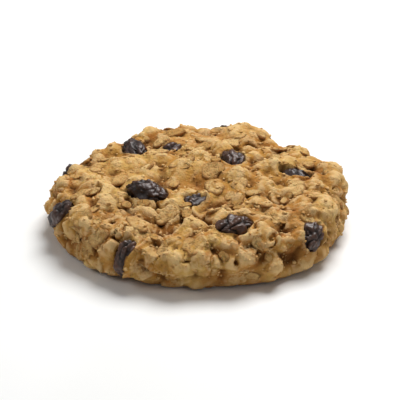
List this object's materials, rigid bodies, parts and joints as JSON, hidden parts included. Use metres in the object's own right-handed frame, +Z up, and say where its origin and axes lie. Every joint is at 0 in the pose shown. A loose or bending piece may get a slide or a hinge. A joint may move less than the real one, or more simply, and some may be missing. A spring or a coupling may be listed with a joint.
{
  "type": "oatmeal raisin cookie",
  "caption": "Thick round oatmeal cookie with a craggy, oat-flecked top and rim, a flat base, and wrinkled raisins bedded in both faces and in the rim.",
  "frame": {"origin": "middle of the flat base, on the surface that the cookie lies on", "axes": "+Z up through the cookie's thickness, from the flat base to the craggy top"},
  "size_m": [0.0774, 0.0753, 0.0174],
  "materials": {
    "baked_dough": "matt, crumbly baked crust with paler oat flakes",
    "raisin_skin": "wrinkled dark skin with a soft sheen"
  },
  "bodies": {
    "root": {"dough": "baked_dough", "raisin_01": "raisin_skin", "raisin_02": "raisin_skin", "raisin_03": "raisin_skin", "raisin_04": "raisin_skin", "raisin_05": "raisin_skin", "raisin_06": "raisin_skin", "raisin_07": "raisin_skin", "raisin_08": "raisin_skin", "raisin_09": "raisin_skin", "raisin_10": "raisin_skin", "raisin_11": "raisin_skin", "raisin_12": "raisin_skin", "raisin_13": "raisin_skin", "raisin_14": "raisin_skin", "raisin_15": "raisin_skin"}
  },
  "joints": []
}
